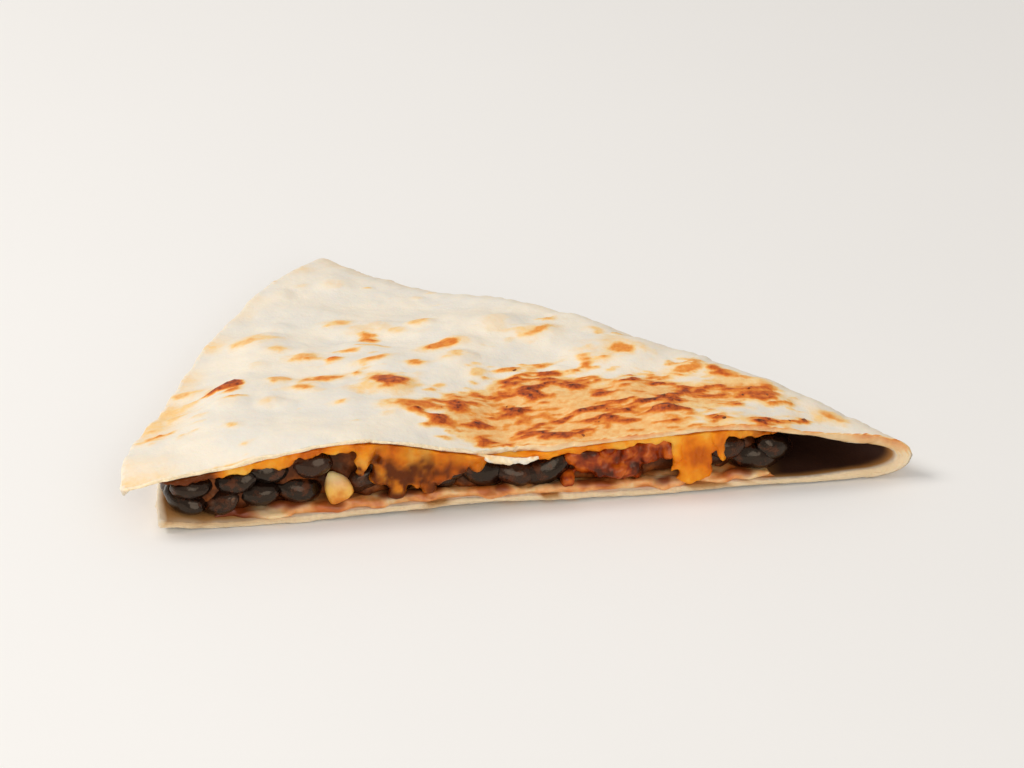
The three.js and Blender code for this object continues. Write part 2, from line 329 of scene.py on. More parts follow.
def grid_normals(points):
    normal = np.cross(np.gradient(points, axis=0), np.gradient(points, axis=1))
    return normal / np.maximum(np.linalg.norm(normal, axis=-1, keepdims=True), 1e-9)


# Where the griddle marked the upper leaf: along the cut from the apex, back from it, length, width,
# turn in degrees, and how dark. The rest of the marks are drawn at random.
MARKS = [
    (134, 39, 8, 6, 20, 0.42), (140, 26, 4, 3, 0, 0.3), (142, 15, 4, 3, 0, 0.3), (127, 13, 4, 3, 40, 0.35),
    (120, 57, 9, 6, 15, 0.4), (115, 50, 6, 5, 0, 0.36), (111, 44, 7, 4, -20, 0.42), (116, 34, 6, 5, 0, 0.45),
    (112, 27, 7, 4, 30, 0.5), (107, 32, 11, 5, 5, 0.62), (97, 38, 9, 4, -15, 0.5), (90, 34, 6, 4, 10, 0.5),
    (97, 25, 11, 10, 10, 0.82), (119, 22, 6, 6, 0, 0.35), (106, 17, 5, 3, 0, 0.42), (93, 15, 15, 5, 5, 0.68),
    (84, 42, 10, 4, -10, 0.6), (13, 6, 10, 6, 20, 0.82), (27, 12, 12, 7, 10, 0.75),
    (38, 24, 11, 6, -10, 0.55), (64, 44, 9, 5, -30, 0.5), (50, 33, 8, 5, 10, 0.55),
    (129, 70, 7, 5, 0, 0.4), (101, 62, 8, 5, 20, 0.4), (86, 56, 6, 5, 0, 0.35),
]
# And the broad toasted band behind the cut: where it fades in and out along the cut, at its front and
# at its back. Near the apex its front comes nearer to the cut.
BAND = {"starts": (10, 34), "ends": (99, 80), "front": (-2, 4), "back": (38, 17), "strength": 0.95}
BAND_NEARER = 6
TEAR = {"along": 76, "half_length": 5.5, "depth": 1.6}


def ragged_marks(x, y, marks, seed):
    """How toasted each point is by a list of marks, and how far each mark has blistered it."""
    at = spots(x, y, seed * 9.1)
    rough = 0.36 * noise(at, 4.4) + 0.2 * noise(at, 1.5)
    toast = np.zeros_like(x)
    blister = np.zeros_like(x)
    for along, back, length, width, turn, dark in marks:
        cosine, sine = math.cos(math.radians(turn)), math.sin(math.radians(turn))
        u = (-x - along) * cosine + (y - back) * sine
        v = (y - back) * cosine - (-x - along) * sine
        away = np.sqrt((2 * u / length) ** 2 + (2 * v / width) ** 2)
        halo = 0.4 * ease(1.7 - away - rough, 0, 1.1)
        core = ease(1.05 - away - rough, 0, 0.75)
        toast = np.maximum(toast, dark * np.maximum(halo, core))
        blister = np.maximum(blister, min(length, width) * 0.09 * ease(1.35 - away, 0, 1))
    return toast, blister


def random_marks(seed, count, darkest):
    draw = np.random.default_rng(seed)
    marks = []
    for _ in range(count):
        reach = RADIUS * math.sqrt(draw.uniform(0.03, 0.97))
        turn = draw.uniform(0, WEDGE_ANGLE)
        size = draw.gamma(3.0, 1.1) + 1.4
        marks.append((
            reach * math.cos(turn), reach * math.sin(turn), size * draw.uniform(1, 1.8), size,
            draw.uniform(-40, 40), darkest * draw.uniform(0.25, 1) ** 1.6,
        ))
    return marks


def toasted(x, y, side):
    """The griddle's marks on both leaves: toasting from 0 to 1, and the blisters' height."""
    upper_toast, upper_blister = ragged_marks(x, y, MARKS + random_marks(3, 46, darkest=0.4), 1)
    lower_toast, lower_blister = ragged_marks(x, y, random_marks(8, 90, darkest=0.85), 2)
    front = np.array(BAND["front"])[:, None, None] - BAND_NEARER * ease(-x, 70, 58)
    band = ease(-x, *BAND["starts"]) * ease(-x, *BAND["ends"])
    band = band * ease(y, *front) * ease(y, *BAND["back"])
    wavy = y + 0.6 * noise(spots(x, y * 0.5), 6)
    streaks = noise(spots(x / 2.1, wavy, 3), 1.9, 3)
    patches = noise(spots(x / 1.5, y, 8), 9)
    flush = ease(band + 0.5 * patches + 0.25 * streaks, 0.15, 0.85)
    band_toast = flush * np.clip(BAND["strength"] * (0.5 + 0.72 * streaks + 0.2 * patches), 0.37, 0.88)
    upper_toast = np.maximum(upper_toast, band_toast)
    upper_blister = upper_blister + 0.45 * flush * np.maximum(streaks, 0)
    # the dry rim took a straw colour
    uneven = 1 + noise(spots(angle_from_cut(x, y) * 120, np.hypot(x, y) / 4), 7)
    upper_toast = np.maximum(upper_toast, 0.2 * near_rim(x, y, 9) * uneven)
    # the fold's side never touched the griddle: it only took a straw tint from its heat
    from_fold = fold_distance(x, y)
    flat_part = ease(from_fold, 2, FOLD_ROUND + 3)
    side_tint = 0.13 + 0.12 * noise(spots(x, y, side * 4), 9, 3)
    toast = np.where(side > 0, upper_toast, lower_toast) * flat_part
    toast = np.maximum(toast, np.maximum(side_tint, 0) * ease(from_fold, 9, 1))
    return toast, np.where(side > 0, upper_blister, lower_blister) * flat_part


def leaf_relief(points, side):
    """How far the griddled surface stands out from its mean, and how toasted it is."""
    x, y, z = np.moveaxis(points, -1, 0)
    from_fold = fold_distance(x, y)
    plan = spots(x, y, side * 30)
    toast, blister = toasted(x, y, side)
    beans_below = 0.46 * noise(plan, 9.5) * ease(from_fold, 4, 14)
    crinkle = 0.13 * noise(plan, 2.8)
    # creases across the fold, where the sheet was bent dry
    along_fold = -x * WEDGE_COS + y * WEDGE_SIN
    at = spots(along_fold, from_fold / 5, z / 4)
    creases = 0.5 * np.abs(noise(at, 5.5, 1)) ** 0.7 + 0.3 * np.abs(noise(at, 2.3)) ** 0.7 - 0.35
    creases = creases * ease(from_fold, 14, 2)
    # and the rim, which dries and curls into short waves
    reach = np.hypot(x, y)
    rim_waves = 0.3 * noise(spots(angle_from_cut(x, y) * 60, reach / 9, side * 5), 6)
    relief = beans_below + crinkle + creases + rim_waves * near_rim(x, y, 22) + blister
    # below, the weight presses all but the hollows flat
    pressed = np.minimum(0.5 * relief - 0.12, 0) * ease(from_fold, 0, 9) + creases
    return np.where(side > 0, relief, pressed) * ease(reach, 1.5, 9), toast


def cut_and_rim(points, side):
    """Draws the grid's border back to the knife's line, with its tear, and the rim's uneven edge."""
    x, y = points[..., 0], points[..., 1]
    line = spots(x, 0, side * 20)
    wander = 0.28 * noise(line, 11) + 0.16 * noise(line, 1.6) + 0.3
    torn = np.exp(-(((-x - TEAR["along"]) / TEAR["half_length"]) ** 4)) * (1 + 0.5 * noise(line, 1.9))
    wander = np.where(side > 0, wander + TEAR["depth"] * torn, wander * 0.8) * ease(-x, 1, 7)
    line = spots(angle_from_cut(x, y) * 130, side * 11)
    uneven = 0.8 * noise(line, 15, 1) + 0.3 * noise(line, 4.2, 1) - 0.5
    moved = points.copy()
    moved[..., 1] += wander * ease(y, 5, 0)
    moved[..., :2] *= (1 + uneven / RADIUS * near_rim(x, y, 14))[..., None]
    return moved


outer, outer_side = sheet(0, 0, OUTER_COLUMNS)
relief, outer_toast = leaf_relief(outer, outer_side)
outer = outer + grid_normals(outer) * relief[..., None]
x, y = outer[..., 0], outer[..., 1]
outer[..., 2] -= 0.5 * np.where(outer_side > 0, pinch(x, y), 0) ** 2
outer[..., 2] = np.maximum(outer[..., 2], 0) + (outer_side < 0) * edge_lift(x, y)
outer = cut_and_rim(outer, outer_side)

inner, inner_side = sheet(-SHEET_THICK / WEDGE_SIN, SHEET_THICK, INNER_COLUMNS, POCKET_SHORT)
uneven = 0.14 * noise(inner, 5.5) * ease(-inner[..., 0], 6, 14)
inner = inner + grid_normals(inner) * uneven[..., None]
x, y = inner[..., 0], inner[..., 1]
squeeze = np.where(inner_side > 0, PINCH_UP, -PINCH_DOWN) * pinch(x, y)
inner[..., 2] += squeeze + (inner_side < 0) * edge_lift(x, y)
inner = cut_and_rim(inner, inner_side)


def to_frame(points):
    """Millimetres from the apex as metres in the part's frame."""
    return APEX + np.asarray(points) * MM


def store_mask(mesh, name, values):
    mesh.attributes.new(name, "FLOAT", "POINT").data.foreach_set("value", np.array(values, "f"))


def weld(mesh, merge):
    """Merges doubled points, and turns the faces outwards."""
    work = bmesh.new()
    work.from_mesh(mesh)
    bmesh.ops.remove_doubles(work, verts=work.verts, dist=merge * MM)
    bmesh.ops.recalc_face_normals(work, faces=work.faces)
    work.to_mesh(mesh)
    work.free()


skin_points, skin_faces, skin_masks = [], [], {"toast": [], "crumb": [], "pocket": []}


def add_grid(points, flip=False, **masks):
    """Adds a grid's points and quads to the skin, with a value of each mask for every point."""
    index = len(skin_points) + np.arange(points[..., 0].size).reshape(points.shape[:-1])
    skin_points.extend(points.reshape(-1, 3))
    for mask, values in skin_masks.items():
        values.extend(np.broadcast_to(masks.get(mask, 0.0), index.shape).ravel())
    corners = [index[:-1, :-1], index[1:, :-1], index[1:, 1:], index[:-1, 1:]]
    skin_faces.extend(np.stack(corners[::-1] if flip else corners, axis=-1).reshape(-1, 4).tolist())
    return index


def zip_chains(fine, coarse):
    """Triangles between two chains of points that run side by side, one with more points."""
    i = j = 0
    while i < len(fine) - 1 or j < len(coarse) - 1:
        fine_next = i < len(fine) - 1 and (i + 1) * (len(coarse) - 1) <= (j + 1) * (len(fine) - 1)
        step = (fine[i], fine[i + 1], coarse[j]) if fine_next else (fine[i], coarse[j + 1], coarse[j])
        skin_faces.append([int(k) for k in step])
        i, j = (i + 1, j) if fine_next else (i, j + 1)


def edge_between(start, end, outward, bulge, crumble):
    """A thick sheet's edge: a grid from one chain of points to another, rounded outwards."""
    share = np.linspace(0, 1, EDGE_STEPS + 1)[None, :, None]
    grid = mix(start[:, None], end[:, None], share)
    layers = noise(grid * (0.5, 1, 2.6), 1.0)[..., None] + 0.5 * noise(grid, 0.7, 1)[..., None]
    return grid + outward[:, None] * bulge * np.sin(math.pi * share) ** 0.6 * (1 + crumble * layers)


# the oil of the filling stains the pocket's walls, most where it lies against them. The same mask is
# painted shade as well: darker deeper in from the cut, reaching the open end at the rim at half
# strength, and near the apex right from the cut's edge, where the fold's narrow slit lies in shadow
along, back = -inner[..., 0], inner[..., 1]
reach = np.hypot(along, back)
stain = ease(back, 0, 5) * mix(0.5, 1, ease(RADIUS - reach, -2, 12))
stain = stain * np.clip(0.85 + 0.35 * noise(inner, 8), 0, 1)
stain = np.maximum(stain, ease(back, -0.5, 2.5) * ease(reach, 34, 24))
# and the lower leaf's edge, in smears, which run into one at the open end
smears = np.clip(0.9 * noise(inner * (1, 0, 0) + 3.3, 7) - 0.1, 0.13, 0.5)
smears = mix(smears, 0.34 + 0.1 * noise(inner + 1.2, 5), ease(along, 112, 126))
stain = np.maximum(stain, smears * ease(back, 5, 1) * (inner_side < 0))
add_grid(outer, toast=outer_toast)
inner_index = add_grid(inner, flip=True, pocket=stain)
down_edge = np.linspace(0, 1, EDGE_STEPS + 1)[None, :]
out_of_cut = np.broadcast_to((0.0, -1.0, 0.0), outer[:, 0].shape)
cut_index = {}
for column in (0, -1):
    edge = edge_between(outer[:, column], inner[:, column], out_of_cut, bulge=0.3, crumble=0.95)
    edge[0] = mix(outer[0, column], inner[0, column], down_edge.T)
    edge_mask = np.sin(np.linspace(0, math.pi, EDGE_STEPS + 1))[None, :] ** 0.3
    # the hot plate browned the upper leaf's lip where it lay flattest
    along = -edge[..., 0]
    nearer_apex = 0.35 * ease(along, 100, 86) + 0.65 * ease(along, 78, 62)
    lip = np.clip(0.78 + 0.35 * noise(edge * (1, 0, 0.4) + 1.9, 5), 0.4, 0.96) * nearer_apex
    lip = lip * (column == -1) * mix(1, 0.55, down_edge)
    browned = np.maximum(0.75 * lip, outer_toast[:, column, None] * (edge_mask == 0))
    # the pocket's oil stain and painted shade run onto the cut edge, growing towards its inner side
    oil_and_shade = stain[:, column, None] * down_edge**0.6
    cut_index[column] = add_grid(
        edge, flip=column == 0, toast=browned, crumb=edge_mask * (1 - lip), pocket=oil_and_shade
    )
rim_line = outer[-1]
inner_at_rim = rim_line - grid_normals(outer)[-1] * (SHEET_THICK - 0.5)
out_of_rim = rim_line * (1, 1, 0) / np.linalg.norm(rim_line * (1, 1, 0), axis=-1, keepdims=True)
rim_edge = edge_between(rim_line, inner_at_rim, out_of_rim, bulge=0.45, crumble=0.35)
rim_index = add_grid(rim_edge, flip=True, crumb=0.35)
zip_chains(rim_index[:, -1], inner_index[-1])
for column in cut_index:
    zip_chains(cut_index[column][-1], rim_index[column])
sheet_mesh = bpy.data.meshes.new("tortilla_sheet")
sheet_mesh.from_pydata(to_frame(skin_points).tolist(), [], skin_faces)
for name, values in skin_masks.items():
    store_mask(sheet_mesh, name, values)
weld(sheet_mesh, 0.02)

# The look of griddled dough: cream skin with paler and greyer patches, toasting from straw to char.
SKIN_SHADES = ((239, 228, 209), (230, 223, 210))
TOAST_SHADES = [
    (0, (240, 226, 203)), (0.3, (244, 203, 138)), (0.5, (234, 150, 58)), (0.72, (210, 102, 20)),
    (0.9, (162, 65, 9)), (1, (90, 38, 10)),
]
CRUMB_SHADE = (255, 230, 190)
# the pocket's oil stain together with its painted shade, from tan to near black
POCKET_STAIN_AND_SHADE_COLOURS = [(0, (222, 178, 118)), (0.5, (172, 118, 62)), (1, (58, 28, 11))]


def stored(tree, mask):
    return add_node(tree, "Attribute", attribute_name=mask).outputs["Fac"]


def ranged(value, start, end, to_start=0.0, to_end=1.0):
    """A value moved from one range to another, and held within its ends."""
    ends = {"Value": value, "From Min": start, "From Max": end, "To Min": to_start, "To Max": to_end}
    return add_node(value.id_data, "MapRange", ends).outputs["Result"]


def maths(operation, *values):
    tree = values[0].id_data
    return add_node(tree, "Math", dict(enumerate(values)), operation=operation).outputs[0]


def ramped(value, shades):
    """The colour that a value has on a ramp of (position, screen colour) stops."""
    ramp = add_node(value.id_data, "ValToRGB", {"Fac": value})
    stops = ramp.color_ramp.elements
    while len(stops) < len(shades):
        stops.new(0.5)
    for stop, (position, _) in zip(stops, shades):
        stop.position = position
    for stop, (_, shade) in zip(stops, shades):
        stop.color = colour(*shade)
    return ramp.outputs["Color"]


def bump(height, strength, distance, under=None):
    """Fine relief as a normal, laid over another one if that is given."""
    inputs = {"Height": height, "Strength": strength, "Distance": distance}
    if under:
        inputs["Normal"] = under
    return add_node(height.id_data, "Bump", inputs).outputs["Normal"]


def new_piece(name, mesh, material):
    """A smooth piece that rides on the wedge, with the finish that it is given."""
    mesh.materials.append(material)
    mesh.shade_smooth()
    piece = add_object(name, mesh)
    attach(piece, "root")
    return piece


dough, tree, shader = new_material(
    "griddled_dough", Subsurface_Weight=0.12, Subsurface_Radius=(1.0, 0.6, 0.35), Subsurface_Scale=0.0016,
    Specular_IOR_Level=0.35,
)
toast, crumb, pocket = (stored(tree, mask) for mask in ("toast", "crumb", "pocket"))
patches = ranged(cloud(tree, 95.0, 4.0, roughness=0.6), 0.42, 0.62)
surface = covered(patches, *(colour(*shade) for shade in SKIN_SHADES))
# the marks are broken up by fine speckle, so that none has a clean edge
speckle = cloud(tree, 750.0, 3.0, roughness=0.6)
broken = maths("MULTIPLY_ADD", maths("ADD", speckle, -0.5), toast, toast)
surface = covered(ranged(broken, 0.04, 0.26), surface, ramped(broken, TOAST_SHADES))
surface = covered(crumb, surface, colour(*CRUMB_SHADE))
# the pocket's oil stain and painted shade darken the dough, from tan to near black
surface = covered(ranged(pocket, 0.0, 0.4), surface, ramped(pocket, POCKET_STAIN_AND_SHADE_COLOURS))
# the cut edge is bread: open pores between thin layers
place = add_node(tree, "TexCoord").outputs["Object"]
pores = add_node(tree, "TexVoronoi", {"Vector": place, "Scale": 1100.0}).outputs["Distance"]
normal = bump(speckle, 0.35, 0.0004)
normal = bump(cloud(tree, 2600.0, 2.0), 0.25, 0.00012, under=normal)
normal = bump(maths("MULTIPLY", pores, crumb), 0.7, 0.0004, under=normal)
tree.links.new(surface, shader.inputs["Base Color"])
tree.links.new(ranged(broken, 0.0, 1.0, 0.72, 0.55), shader.inputs["Roughness"])
tree.links.new(normal, shader.inputs["Normal"])
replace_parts(new_piece("tortilla_sheet", sheet_mesh, dough), "tortilla")

# ---- Torn shard ----
# A scrap of the upper leaf's skin that the knife tore and left in the mouth of the cut: a thin curled
# sheet of dough, which hangs from its root and runs out to a ragged tip.
SHARD = {"root": 83, "tip": 71.5, "width": 2.5, "thick": 0.9}
SHARD_STEPS = (90, 14)  # along it and down it


def shell(low, high):
    """A closed solid between two grids of points, as its points and quads."""
    rows, columns = low.shape[:2]
    points = np.concatenate([low.reshape(-1, 3), high.reshape(-1, 3)])
    below, above = np.arange(rows * columns * 2).reshape(2, rows, columns)

    def quads(a, b):
        return np.stack([a[:-1], a[1:], b[1:], b[:-1]], -1).reshape(-1, 4)

    faces = [quads(above[:, j], above[:, j + 1]) for j in range(columns - 1)]
    faces += [quads(below[:, j + 1], below[:, j]) for j in range(columns - 1)]
    faces += [quads(below[:, 0], above[:, 0]), quads(above[:, -1], below[:, -1])]
    faces += [quads(above[0], below[0]), quads(below[-1], above[-1])]
    return points, np.concatenate(faces)


def raw_mesh(name, solids, merge=0.004):
    """One mesh from several solids, each with its points and its faces."""
    starts = np.cumsum([0] + [len(points) for points, _ in solids])
    faces = [face for start, (_, quads) in zip(starts, solids) for face in (quads + start).tolist()]
    mesh = bpy.data.meshes.new(name)
    mesh.from_pydata(to_frame(np.concatenate([points for points, _ in solids])).tolist(), [], faces)
    weld(mesh, merge)
    return mesh


def mesh_points(mesh):
    """A mesh's points, back in millimetres from the apex."""
    flat = np.empty(len(mesh.vertices) * 3)
    mesh.vertices.foreach_get("co", flat)
    return (flat.reshape(-1, 3) - APEX) / MM


share = np.linspace(0, 1, SHARD_STEPS[0] + 1)[:, None]
down = np.linspace(0, 1, SHARD_STEPS[1] + 1)[None, :]
along = mix(SHARD["root"], SHARD["tip"], share)
line = spots(along, 0, 60)
ragged = 0.95 + 1.3 * (0.4 * noise(line, 3.2) + 0.18 * noise(line, 0.9, 1))
tapered = SHARD["width"] * ease(share, -0.06, 0.34) * np.maximum(1 - share, 0.01) ** 0.85
width = tapered * ragged
root_y = 0.45 + 0.25 * noise(line, 2.4) + 0.9 * ease(share, 0.22, 0)
root_z = leaf_z(-along, root_y + 0.5, 1) - 1.3 - 0.75 * share**1.2 + 0.2 * noise(line + 7, 1.6)
plan = spots(along, width * down)
curl = 0.45 * noise(plan, 2.6) + 0.2 * noise(plan, 0.9)
middle = spots(
    -along + 0.3 * down * noise(line + 3, 1.4, 1),
    root_y - 0.9 * np.sin(down * 2.4) - 0.8 * share + curl * (0.3 + down),
    root_z - width * (down - 0.1 * np.sin(down * 3.1)),
)
thinning = (1 - share) ** 0.3 * (1.05 - 0.75 * down) * (1 + 0.5 * noise(plan + 5, 1.3))
half_thick = grid_normals(middle) * (SHARD["thick"] / 2 * np.maximum(thinning, 0.12))[..., None]
shard_mesh = raw_mesh("torn_shard", [shell(middle - half_thick, middle + half_thick)], merge=0)
points = mesh_points(shard_mesh)
store_mask(shard_mesh, "crumb", np.clip(0.45 + 0.6 * noise(points, 1.3), 0, 1))
store_mask(shard_mesh, "toast", np.clip(0.12 + 0.6 * noise(points + 9, 1.7), 0, 0.5))
new_piece("torn_shard", shard_mesh, dough)

# ---- Char flecks ----
# Scraps of burnt flour that the griddle left on the darkest of the upper leaf's marks: small flat
# ragged crumbs, dry and brown, that lie on the skin.
FLECKS = 28
FLECK_THICK = 0.06
NEAR_APEX = 10  # rows of the sheet that stay clean


def turned(points, turn):
    return points @ np.array(Euler(turn).to_matrix()).T


def ball(centre=(0, 0, 0), size=(2, 2, 2), around=18, rings=12):
    """An ellipsoid's points and quads, with small fans at its poles."""
    tilt = np.linspace(0, math.pi, rings + 1)[:, None]
    spin = np.linspace(0, 2 * math.pi, around, endpoint=False)[None, :]
    unit = spots(np.cos(tilt), np.sin(tilt) * np.cos(spin), np.sin(tilt) * np.sin(spin)).reshape(-1, 3)
    index = np.arange((rings + 1) * around).reshape(rings + 1, around)
    following = np.roll(index, -1, axis=1)
    faces = np.stack([index[:-1], following[:-1], following[1:], index[1:]], -1).reshape(-1, 4)
    return unit * np.array(size) / 2 + centre, faces


draw = np.random.default_rng(17)
lying = outer[NEAR_APEX:].reshape(-1, 3)
facing = grid_normals(outer)[NEAR_APEX:].reshape(-1, 3)
burnt = np.maximum(outer_toast[NEAR_APEX:].ravel() - 0.42, 0)
likely = (lying[:, 2] > 3) * (np.abs(facing[:, 2]) > 0.75) * burnt**1.5
flecks = []
for pick in draw.choice(len(lying), FLECKS, replace=False, p=likely / likely.sum()):
    points, faces = ball(around=9, rings=6)
    long = draw.gamma(2.2, 0.07) + 0.1
    size = (long, long * draw.uniform(0.3, 0.8), FLECK_THICK)
    points = points * (1 + 0.6 * noise(points + pick * 0.37, 0.8, 1))[:, None] * size
    lay = Vector(facing[pick] if facing[pick][2] > 0 else -facing[pick]).to_track_quat("Z", "Y").to_matrix()
    points = turned(points, (0, 0, draw.uniform(0, math.pi))) @ np.array(lay).T
    flecks.append((points + lying[pick], faces))
char, tree, shader = new_material("char", Roughness=0.85)
char_shades = [(0.3, (86, 42, 18)), (0.5, (124, 62, 24)), (0.7, (168, 92, 38))]
tree.links.new(ramped(cloud(tree, 400.0, 2.0), char_shades), shader.inputs["Base Color"])
new_piece("char_flecks", raw_mesh("char_flecks", flecks), char)

# ---- Cheese in the lower leaf ----
# Cheese that melted first and soaked into the lower leaf: a thin peach-orange crust that the beans
# lie on, oozing a little at the cut. It's made as a slab and lumps that melt into one skin.
BASE = {"start": 27, "end_at_cut": 132, "end_at_fold": 92, "from_fold": 12, "inset": 1.4, "thick": 1.6}
RIM_BULGE = 9  # how far the middle of a layer's outer end bows out
LAYER_SPREAD = 0.35  # the share of its length over which a layer widens


def ceiling(x, y):
    return leaf_z(x, y, 1, SHEET_THICK) + PINCH_UP * pinch(x, y)


def floor_top(x, y):
    return leaf_z(x, y, -1, SHEET_THICK) - PINCH_DOWN * pinch(x, y) + edge_lift(x, y)


def layer_plan(layer, rows, columns):
    """A layer's plan as a grid of (x, y), from the apex's side out and from the fold to the cut."""
    share = np.linspace(0, 1, rows + 1)[:, None, None]
    across = np.linspace(0, 1, columns + 1)[None, :, None]
    start, inset = layer["start"], layer["inset"]
    at_cut = np.concatenate([-mix(start, layer["end_at_cut"], share), share * 0 + inset], -1)
    away = mix(start * WEDGE_SIN - inset, layer["from_fold"], ease(share, 0, LAYER_SPREAD))
    along = mix(start * WEDGE_COS, layer["end_at_fold"], share)
    at_fold = along * (-WEDGE_COS, WEDGE_SIN) + away * (-WEDGE_SIN, -WEDGE_COS)
    bow = RIM_BULGE * share**2 * 4 * across * (1 - across)
    outward = np.array((-math.cos(WEDGE_ANGLE / 2), math.sin(WEDGE_ANGLE / 2)))
    return mix(at_fold, at_cut, across) + bow * outward


def slab(plan, low, high):
    """A closed solid over a plan grid, between two grids of heights, thinning out at both ends."""
    share = np.linspace(0, 1, len(plan))[:, None]
    thin = np.sqrt(ease(share, -0.01, 0.07) * ease(share, 1.01, 0.95))
    x, y, middle = plan[..., 0], plan[..., 1], (low + high) / 2
    return shell(spots(x, y, mix(middle, low, thin)), spots(x, y, mix(middle, high, thin)))


def move_points(mesh, points):
    mesh.vertices.foreach_set("co", to_frame(points).ravel())
    mesh.update()


def lift_points(mesh, lift):
    """Moves a mesh's skin outwards at each point."""
    flat = np.empty(len(mesh.vertices) * 3)
    mesh.vertex_normals.foreach_get("vector", flat)
    move_points(mesh, mesh_points(mesh) + flat.reshape(-1, 3) * lift[:, None])


def run_together(name, solids, voxel, softening, relief):
    """One skin over solids that have melted together; relief is (height, size) pairs of noise."""
    rough = add_object(name + "_rough", raw_mesh(name + "_rough", solids))
    fuse = rough.modifiers.new("fuse", "REMESH")
    fuse.mode = "VOXEL"
    fuse.voxel_size = voxel * MM
    soften = rough.modifiers.new("soften", "SMOOTH")
    soften.factor = 0.5
    soften.iterations = softening
    mesh = bpy.data.meshes.new_from_object(rough.evaluated_get(bpy.context.evaluated_depsgraph_get()))
    mesh.name = name
    bpy.data.objects.remove(rough)
    points = mesh_points(mesh)
    lift_points(mesh, sum(height * noise(points, size) for height, size in relief))
    return mesh


def kept_inside(mesh, sunk=0.3):
    """Presses a melted layer flat where it meets the leaves, a little way into them."""
    points = mesh_points(mesh)
    x, y = points[:, 0], np.maximum(points[:, 1], 0)
    highest = ceiling(x, y) + np.where(points[:, 1] > 1.2, sunk, -0.15)
    points[:, 2] = np.clip(points[:, 2], floor_top(x, y) - sunk, highest)
    move_points(mesh, points)


# A wet finish's own unevenness: larger lumps and fine pits that gloss breaks up on.
wet = bpy.data.node_groups.new("wet_unevenness", "ShaderNodeTree")
for name, way in (("Lump Size", "INPUT"), ("Height", "OUTPUT"), ("Blend", "OUTPUT")):
    wet.interface.new_socket(name, in_out=way, socket_type="NodeSocketFloat")
lumps = cloud(wet, wet.nodes.new("NodeGroupInput").outputs["Lump Size"], 3.0)
wet_out = wet.nodes.new("NodeGroupOutput")
wet.links.new(maths("MULTIPLY_ADD", cloud(wet, 1900.0, 2.0), 0.25, lumps), wet_out.inputs["Height"])
wet.links.new(ranged(lumps, 0.35, 0.65), wet_out.inputs["Blend"])


def wet_material(name, lump_size, shades, unevenness, stain=None, **settings):
    """A glossy food: its colour drifts between shades, and its gloss breaks on small lumps. A stain
    is a mask's name with the screen colour, or the shades, that cover the food as far as it says."""
    material, tree, shader = new_material(name, **settings)
    uneven = add_node(tree, "Group", {"Lump Size": lump_size}, node_tree=wet)
    look = ramped(uneven.outputs["Blend"], shades)
    if stain:
        share, over = stored(tree, stain[0]), stain[1]
        over = ramped(share, over) if isinstance(over, list) else colour(*over)
        look = covered(share, look, over)
    tree.links.new(look, shader.inputs["Base Color"])
    tree.links.new(bump(uneven.outputs["Height"], unevenness, 0.0006), shader.inputs["Normal"])
    return material


draw = np.random.default_rng(21)
plan = layer_plan(BASE, 80, 40)
x, y = plan[..., 0], plan[..., 1]
y += 0.9 * noise(spots(x, 0, 9), 5) * ease(y, 9, 1)
top = floor_top(x, y) + BASE["thick"] - 0.5 * ease(y, 6, 1) + 0.5 * noise(spots(x, y), 6)
solids = [slab(plan, floor_top(x, y) - 0.9, top)]
for along in np.arange(BASE["start"] + 4, BASE["end_at_cut"] - 5, 1.5):
    size = (draw.uniform(3, 9), draw.uniform(1.6, 3), draw.uniform(0.9, 2.0))
    back = draw.uniform(0.7, 2.4)
    solids.append(ball((-along, back, floor_top(-along, back) + draw.uniform(0.1, 1.3)), size))
base_mesh = run_together("soaked_cheese", solids, voxel=0.38, softening=4, relief=[(0.2, 3.4), (0.07, 1.1)])
kept_inside(base_mesh, sunk=0.9)
# the beans' red-brown juice glazes what they lie on
points = mesh_points(base_mesh)
risen = points[:, 2] - floor_top(points[:, 0], np.maximum(points[:, 1], 0))
risen = risen + 0.9 * noise(points * (1, 1, 0.3), 3.4)
glazed = np.maximum(0.95 * ease(risen, 0.95, 2.3), ease(-points[:, 0], 121, 127))
store_mask(base_mesh, "glazed", glazed)
base_shades = [(0, (206, 112, 46)), (0.4, (236, 158, 88)), (0.75, (246, 188, 124)), (1, (250, 214, 162))]
soaked = wet_material(
    "soaked_cheese", 210.0, base_shades, 0.3, stain=("glazed", (128, 54, 14)), Roughness=0.4,
    Subsurface_Weight=0.2, Subsurface_Radius=(1.0, 0.45, 0.15), Subsurface_Scale=0.0015,
)
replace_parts(new_piece("soaked_cheese", base_mesh, soaked), "base_cheese")

# ---- Beans ----
# Whole cooked black beans in their own thick sauce, packed against the cut. Cooking split the skin of
# some. Behind them the heap is one mass of beans and sauce.
BEAN_SIZE = np.array((10.2, 6.7, 5.8))
FACE_BEANS = 34
BURIED_BEANS = 56
BEAN_ENDS = (26, 137)  # along the cut
BEANS_DEEP = 17
BEHIND_CUT = 0.3
SHAKES = 80
SPLIT_SHARE = 0.15
CURTAINS = [(36, 47), (88, 104)]  # where cheese hangs over the beans
BARE = [(45.5, 66, 14), (105, 113, 5)]  # room for the salsa and the corn, and how deep
SAUCE = {"start": 31, "end_at_cut": 136, "end_at_fold": 88, "from_fold": 13, "inset": 2.4}
CHEESE = {"start": 26, "end_at_cut": 140, "end_at_fold": 101, "from_fold": 10, "inset": 1.1, "thick": 1.8}
LAYER_GAP = 0.45
JUICY_GLOSS = (1.0, 0.74, 0.5, 1.0)


def bean_floor(x, y):
    return floor_top(x, y) + BASE["thick"] + LAYER_GAP


def bean_ceiling(x, y):
    return ceiling(x, y) - CHEESE["thick"] - LAYER_GAP


def reach_towards(direction, turns, sizes):
    """How far each bean's skin is from its middle in a direction."""
    local = np.einsum("nji,nj->ni", turns, direction)
    return 1 / np.sqrt(((local / (sizes / 2)) ** 2).sum(-1))


